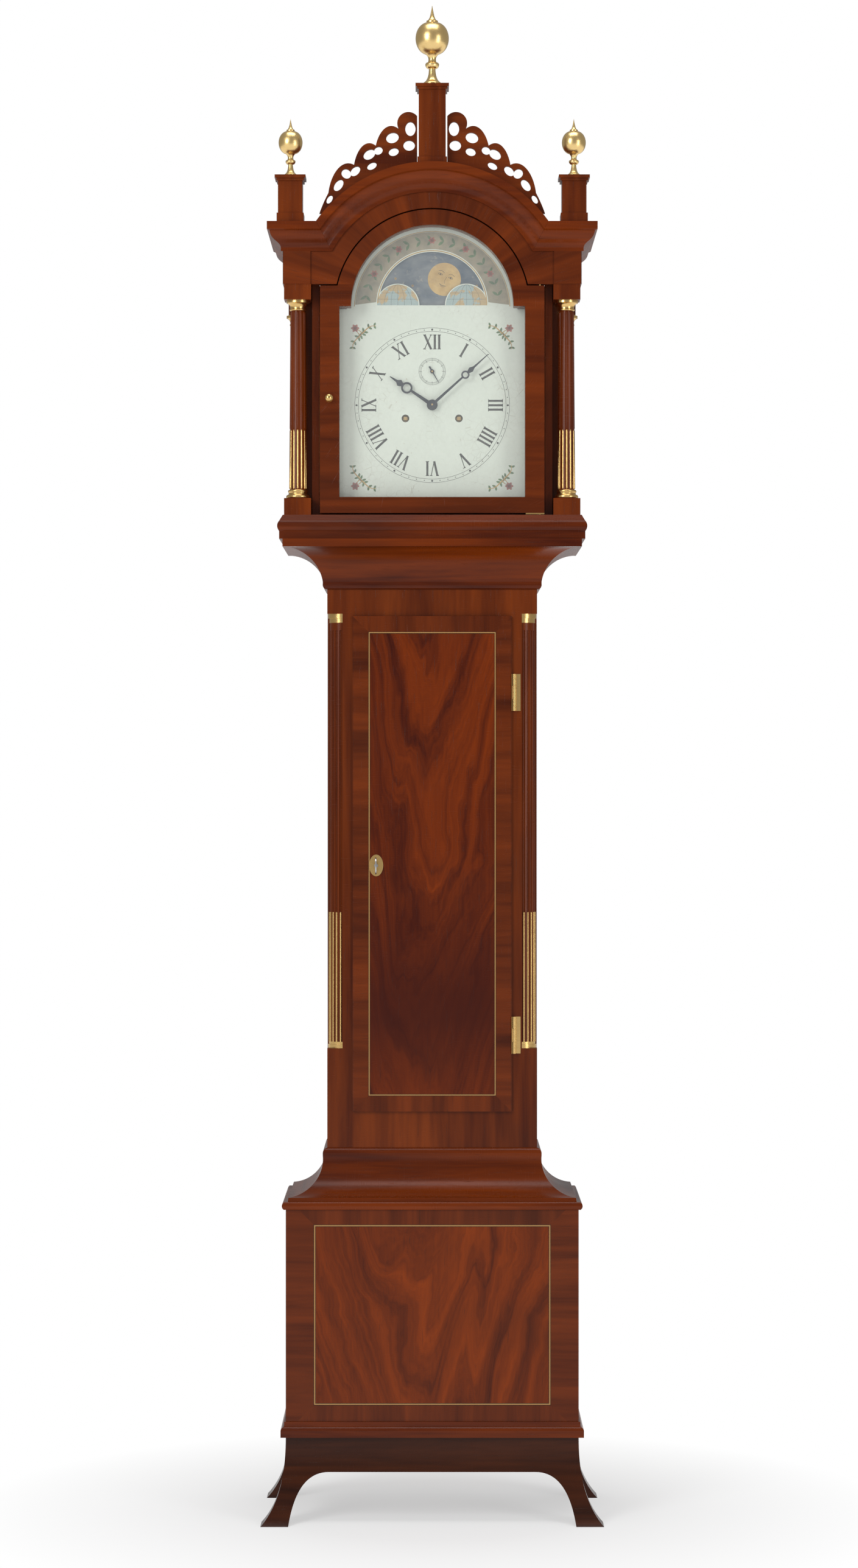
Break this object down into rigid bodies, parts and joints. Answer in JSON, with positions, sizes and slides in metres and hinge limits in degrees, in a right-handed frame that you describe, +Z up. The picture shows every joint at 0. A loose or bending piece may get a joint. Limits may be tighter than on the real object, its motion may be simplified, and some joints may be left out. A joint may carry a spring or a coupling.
{
  "type": "longcase clock",
  "caption": "Tall mahogany longcase clock with arched hood, pierced fret, brass finials, painted moon dial, long waist door, fluted quarter columns and flared bracket feet.",
  "frame": {"origin": "on the floor, under the middle of the whole width and depth", "axes": "+X to the viewer's right seen from the front, -Y towards the viewer, +Z up"},
  "size_m": [0.532, 0.286, 2.366],
  "materials": {
    "mahogany": "polished figured mahogany veneer",
    "pine": "unfinished secondary wood",
    "brass": "lacquered brass",
    "steel": "worked steel",
    "blued_steel": "blued steel",
    "dial_paint": "painted iron dial",
    "moon_paint": "painted moon disc",
    "glass": "clear window glass",
    "iron": "cast iron",
    "gut": "twisted gut line"
  },
  "bodies": {
    "case": {"backboard": "pine", "base_front_panel": "mahogany", "base_sides": "mahogany", "base_molding": "mahogany", "bracket_feet": "mahogany", "lower_cove_molding": "mahogany", "waist_sides": "mahogany", "waist_front_frame": "mahogany", "quarter_columns": "mahogany", "quarter_column_mounts": "brass", "throat_molding": "mahogany", "seat_board": "pine", "waist_hinge_leaves": "brass", "dial_plate": "dial_paint", "movement_plates": "brass", "plate_pillars": "brass", "bell": "steel", "going_line": "gut", "strike_line": "gut"},
    "waist_door": {"waist_door": "mahogany", "waist_door_hinges": "brass", "escutcheon": "brass"},
    "lock_bolt": {"lock_bolt": "steel"},
    "waist_key": {"waist_key": "steel"},
    "hood": {"hood_sill": "mahogany", "hood_sides": "mahogany", "hood_side_glass": "glass", "hood_tympanum": "mahogany", "hood_cornice": "mahogany", "hood_roof": "mahogany", "dial_mask": "mahogany", "hood_columns": "mahogany", "hood_column_mounts": "brass", "hood_fret": "mahogany", "finial_plinths": "mahogany", "finials": "brass"},
    "hood_door": {"hood_door_frame": "mahogany", "hood_door_glass": "glass", "hood_door_knob": "brass", "hood_door_pivots": "brass"},
    "minute_arbor": {"center_wheel": "brass", "minute_hand": "blued_steel"},
    "hour_wheel": {"hour_hand": "blued_steel"},
    "minute_wheel": {"minute_wheel": "brass"},
    "third_arbor": {"third_wheel": "brass"},
    "escape_arbor": {"escape_wheel": "brass", "seconds_hand": "blued_steel"},
    "going_great_wheel": {"going_great_wheel": "brass"},
    "strike_great_wheel": {"strike_great_wheel": "brass"},
    "moon": {"moon_disc": "moon_paint"},
    "going_weight": {"going_weight": "iron"},
    "going_barrel": {"going_barrel": "brass"},
    "going_pulley": {"going_pulley": "brass"},
    "strike_weight": {"strike_weight": "iron"},
    "strike_barrel": {"strike_barrel": "brass"},
    "strike_pulley": {"strike_pulley": "brass"},
    "pendulum": {"pendulum_rod": "steel", "pendulum_bob": "brass"},
    "pallets": {"pallet_anchor": "steel"},
    "bell_hammer": {"bell_hammer": "steel"}
  },
  "joints": [
    {"name": "waist_door_swing", "type": "hinge", "parent": "case", "child": "waist_door", "pos_m": [0.129, -0.047, 1.0245], "axis": [0, 0, 1], "range_deg": [0, 110]},
    {"name": "key_turn", "type": "hinge", "parent": "waist_door", "child": "waist_key", "pos_m": [-0.088, -0.067, 1.022], "axis": [0, 1, 0], "range_deg": [0, 90]},
    {"name": "bolt_throw", "type": "slide", "parent": "waist_door", "child": "lock_bolt", "axis": [-1, 0, 0], "range_m": [0, 0.008]},
    {"name": "hood_slide", "type": "slide", "parent": "case", "child": "hood", "axis": [0, -1, 0], "range_m": [0, 0.28]},
    {"name": "hood_door_swing", "type": "hinge", "parent": "hood", "child": "hood_door", "pos_m": [0.168, -0.086, 1.75], "axis": [0, 0, 1], "range_deg": [0, 95]},
    {"name": "minute_turn", "type": "hinge", "parent": "case", "child": "minute_arbor", "pos_m": [0, 0.013, 1.745], "axis": [0, 1, 0], "continuous": true},
    {"name": "hour_turn", "type": "hinge", "parent": "case", "child": "hour_wheel", "pos_m": [0, -0.037, 1.745], "axis": [0, 1, 0], "continuous": true},
    {"name": "minute_wheel_turn", "type": "hinge", "parent": "case", "child": "minute_wheel", "pos_m": [0, -0.027, 1.7126], "axis": [0, 1, 0], "continuous": true},
    {"name": "third_turn", "type": "hinge", "parent": "case", "child": "third_arbor", "pos_m": [-0.00868, 0.013, 1.77434], "axis": [0, 1, 0], "continuous": true},
    {"name": "escape_turn", "type": "hinge", "parent": "case", "child": "escape_arbor", "pos_m": [0, 0.013, 1.798], "axis": [0, 1, 0], "continuous": true},
    {"name": "great_wheel_turn", "type": "hinge", "parent": "case", "child": "going_great_wheel", "pos_m": [0.042, -0.007, 1.72435], "axis": [0, 1, 0], "continuous": true},
    {"name": "strike_wheel_turn", "type": "hinge", "parent": "case", "child": "strike_great_wheel", "pos_m": [-0.042, -0.007, 1.72435], "axis": [0, 1, 0], "continuous": true},
    {"name": "moon_turn", "type": "hinge", "parent": "case", "child": "moon", "pos_m": [0, -0.047, 1.896], "axis": [0, 1, 0], "continuous": true},
    {"name": "going_weight_rise", "type": "slide", "parent": "case", "child": "going_weight", "axis": [0, 0, 1], "range_m": [0, 1.1], "deforming": ["going_line"]},
    {"name": "going_barrel_turn", "type": "hinge", "parent": "case", "child": "going_barrel", "pos_m": [0.042, 0.013, 1.72435], "axis": [0, 1, 0], "range_deg": [0, 5529.5]},
    {"name": "going_pulley_turn", "type": "hinge", "parent": "going_weight", "child": "going_pulley", "pos_m": [0.0392, 0.017, 0.47], "axis": [0, 1, 0], "range_deg": [0, 3152.3]},
    {"name": "strike_weight_rise", "type": "slide", "parent": "case", "child": "strike_weight", "axis": [0, 0, 1], "range_m": [0, 1.1], "deforming": ["strike_line"]},
    {"name": "strike_barrel_turn", "type": "hinge", "parent": "case", "child": "strike_barrel", "pos_m": [-0.042, 0.013, 1.72435], "axis": [0, 1, 0], "range_deg": [0, 5529.5]},
    {"name": "strike_pulley_turn", "type": "hinge", "parent": "strike_weight", "child": "strike_pulley", "pos_m": [-0.0848, 0.017, 0.47], "axis": [0, 1, 0], "range_deg": [-3152.3, 0]},
    {"name": "pendulum_swing", "type": "hinge", "parent": "case", "child": "pendulum", "pos_m": [0, 0.075, 1.827], "axis": [0, 1, 0], "range_deg": [-3, 3]},
    {"name": "pallet_swing", "type": "hinge", "parent": "case", "child": "pallets", "pos_m": [0, 0.043, 1.827], "axis": [0, 1, 0], "range_deg": [-3, 3]},
    {"name": "hammer_lift", "type": "hinge", "parent": "case", "child": "bell_hammer", "pos_m": [-0.055, 0.013, 1.8], "axis": [0, 1, 0], "range_deg": [-14, 0]}
  ],
  "couplings": [
    {"joint": "bolt_throw", "follows": "key_turn", "m_per_rad": 0.0050879},
    {"joint": "hour_turn", "follows": "minute_turn", "ratio": 0.083333},
    {"joint": "minute_wheel_turn", "follows": "minute_turn", "ratio": -1},
    {"joint": "third_turn", "follows": "minute_turn", "ratio": -7.5},
    {"joint": "escape_turn", "follows": "minute_turn", "ratio": 60},
    {"joint": "great_wheel_turn", "follows": "minute_turn", "ratio": -0.083333},
    {"joint": "moon_turn", "follows": "minute_turn", "ratio": 0.00070621},
    {"joint": "going_barrel_turn", "follows": "going_weight_rise", "rad_per_m": 87.719},
    {"joint": "going_pulley_turn", "follows": "going_weight_rise", "rad_per_m": 50},
    {"joint": "strike_barrel_turn", "follows": "strike_weight_rise", "rad_per_m": 87.719},
    {"joint": "strike_pulley_turn", "follows": "strike_weight_rise", "rad_per_m": -50},
    {"joint": "pallet_swing", "follows": "pendulum_swing", "ratio": 1}
  ]
}
